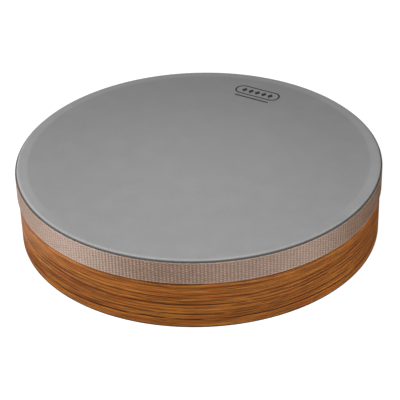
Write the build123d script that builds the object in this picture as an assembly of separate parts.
from build123d import *

# Hand-held frame drum: a bent-laminated wooden shell, a moulded film head bonded over its top
# edge, and a woven band that covers the bond.
#
# The origin is at the centre of the open lower rim, on the surface that the drum stands on, with
# +Z up through the head. The front is -Y. All sizes are in millimetres.

import os
from math import cos, degrees, radians, sin

INCH = 25.4

# Driving dimensions
shell_diameter = 12 * INCH
drum_depth = 2.5 * INCH  # from the lower rim to the top of the head
wall = 9.5
face_veneer_thickness = 0.7
inner_ply_thickness = 0.75
core_ply_count = 7
film_thickness = 0.3
glue_line = 0.15
webbing_width = 0.75 * INCH
webbing_thickness = 0.6
webbing_below_head_top = 2.25
head_bend_radius = 3.0  # outside of the film, where the head turns down over the shell
skirt_above_webbing_edge = 2.0  # the skirt's lower edge hides this far inside the band
adhesive_above_webbing_edge = 0.5
bead_below_webbing_top = 0.15  # adhesive squeezed up between the head and the band

# The shell's edges
inner_edge_chamfer = 0.4
lower_outer_edge_radius = 0.5

# The joint where a ply's two ends meet
seam_gap = 0.15
butt_angle = 0.0  # the face veneer's ends meet square
scarf_angle = 72.0  # the other plies' ends overlap on a slope, this far from the radial direction
face_seam_azimuth = 90.0  # at the back, counted from +X towards +Y
seam_step = 137.0  # from one ply's joint to the next one's, so that no two lie together

# The lap where the band's end lies over its start
lap_azimuth = 118.0
lap_length = 16.0
lap_ramp_length = 4.0
lap_clearance = 0.05  # between the two layers
lap_ramp_clearance = 0.3  # between the ramp and the end that it climbs over

# Sizes that follow
shell_radius = shell_diameter / 2
bore_radius = shell_radius - wall
shell_height = drum_depth - film_thickness
core_ply_thickness = (wall - face_veneer_thickness - inner_ply_thickness) / core_ply_count
skirt_inner_radius = shell_radius + glue_line
skirt_outer_radius = skirt_inner_radius + film_thickness
flat_radius = skirt_outer_radius - head_bend_radius  # where the flat of the head ends
bend_centre_z = drum_depth - head_bend_radius
upper_outer_edge_radius = shell_radius - flat_radius
webbing_inner_radius = skirt_outer_radius + glue_line
webbing_top = drum_depth - webbing_below_head_top
webbing_bottom = webbing_top - webbing_width
skirt_bottom = webbing_bottom + skirt_above_webbing_edge


def section(low_radius, high_radius, low_z, high_z):
    """A rectangle in the plane of radius and height."""
    width = high_radius - low_radius
    height = high_z - low_z
    return Pos(low_radius + width / 2, low_z + height / 2) * Rectangle(width, height)


def turned(profile):
    """The ring that a profile in the plane of radius and height makes round the drum's axis."""
    return revolve(Plane.XZ * profile, Axis.Z, 360)


def polar(radius, azimuth):
    return (radius * cos(radians(azimuth)), radius * sin(radians(azimuth)))


def shell_section():
    """The whole wall's section, with its outer edges rounded and its inner ones chamfered."""
    shape = section(bore_radius, shell_radius, 0, shell_height)
    inner_lower, inner_upper, outer_lower, outer_upper = shape.vertices().sort_by(
        lambda corner: (corner.X, corner.Y)
    )
    shape = chamfer([inner_lower, inner_upper], inner_edge_chamfer)
    for corner, edge_radius in (
        (outer_lower, lower_outer_edge_radius),
        (outer_upper, upper_outer_edge_radius),
    ):
        same_corner = shape.vertices().sort_by_distance(corner)[0]
        shape = fillet(same_corner, edge_radius)
    return shape


def ply(low_radius, high_radius, seam_azimuth, seam_angle):
    """One ply bent into a ring, with the joint where its ends meet."""
    ring = turned(shell_section() & section(low_radius, high_radius, 0, shell_height))
    cut_depth = high_radius - low_radius + 4 * seam_gap
    cut_length = cut_depth / cos(radians(seam_angle))
    cut = Box(cut_length, seam_gap, 3 * shell_height)
    middle_radius = (low_radius + high_radius) / 2
    return ring - Rot(0, 0, seam_azimuth) * Pos(middle_radius, 0, 0) * Rot(0, 0, seam_angle) * cut


def shell_plies():
    """The shell's plies from the outside in, by name."""
    plies = {}
    outside = shell_radius
    inside = outside - face_veneer_thickness
    azimuth = face_seam_azimuth
    plies["shell_face_veneer"] = ply(inside, outside, azimuth, butt_angle)
    for number in range(1, core_ply_count + 1):
        outside = inside
        inside = outside - core_ply_thickness
        azimuth += seam_step
        plies[f"shell_core_ply_{number}"] = ply(inside, outside, azimuth, scarf_angle)
    azimuth += seam_step
    plies["shell_inner_ply"] = ply(bore_radius, inside, azimuth, scarf_angle)
    return plies


def head_film():
    """The flat playing surface, the bend over the shell's edge and the skirt, in one film."""
    flat = Polyline(
        (flat_radius, drum_depth),
        (0, drum_depth),
        (0, shell_height),
        (flat_radius, shell_height),
    )
    skirt = Polyline(
        (skirt_inner_radius, bend_centre_z),
        (skirt_inner_radius, skirt_bottom),
        (skirt_outer_radius, skirt_bottom),
        (skirt_outer_radius, bend_centre_z),
    )
    bend_centre = (flat_radius, bend_centre_z)
    outer_bend = CenterArc(bend_centre, head_bend_radius, 0, 90)
    inner_bend = CenterArc(bend_centre, head_bend_radius - film_thickness, 0, 90)
    return turned(make_face([flat, skirt, outer_bend, inner_bend]))


def skirt_adhesive():
    """The bond between the head's skirt and the shell."""
    return turned(section(shell_radius, skirt_inner_radius, skirt_bottom, bend_centre_z))


def webbing_adhesive():
    """The adhesive under the band, on the shell, on the skirt and as a bead against the bend."""
    bottom = webbing_bottom + adhesive_above_webbing_edge
    bead_top = webbing_top - bead_below_webbing_top
    on_shell = section(shell_radius, webbing_inner_radius, bottom, skirt_bottom)
    on_skirt = section(skirt_outer_radius, webbing_inner_radius, skirt_bottom, bend_centre_z)
    beside_bend = section(flat_radius, webbing_inner_radius, bend_centre_z, bead_top)
    bead = beside_bend - Pos(flat_radius, bend_centre_z) * Circle(head_bend_radius)
    return turned(on_shell + on_skirt + bead)


def rim_webbing():
    """The woven band, one strip round the rim whose end lies over its start."""
    outer_radius = webbing_inner_radius + webbing_thickness
    lift = webbing_thickness + lap_clearance
    lap = degrees(lap_length / outer_radius)
    ramp_start = 360 - degrees(lap_ramp_length / outer_radius)
    ramp_end = 360 - degrees(lap_ramp_clearance / outer_radius)
    lap_end = 360 + lap
    outline = []
    for radius in (webbing_inner_radius, outer_radius):
        ramp_foot = polar(radius, lap_azimuth + ramp_start)
        ramp_top = polar(radius + lift, lap_azimuth + ramp_end)
        outline.append(CenterArc((0, 0), radius, lap_azimuth, ramp_start))
        outline.append(Line(ramp_foot, ramp_top))
        outline.append(CenterArc((0, 0), radius + lift, lap_azimuth + ramp_end, lap_end - ramp_end))
    for azimuth, step in ((lap_azimuth, 0), (lap_azimuth + lap_end, lift)):
        inside = polar(webbing_inner_radius + step, azimuth)
        outside = polar(outer_radius + step, azimuth)
        outline.append(Line(inside, outside))
    return Pos(0, 0, webbing_bottom) * extrude(make_face(outline), webbing_width)


def write_parts():
    parts = shell_plies()
    parts["skirt_adhesive"] = skirt_adhesive()
    parts["head_film"] = head_film()
    parts["webbing_adhesive"] = webbing_adhesive()
    parts["rim_webbing"] = rim_webbing()
    os.makedirs("parts", exist_ok=True)
    for name, shape in parts.items():
        export_step(shape, f"parts/{name}.step")


write_parts()
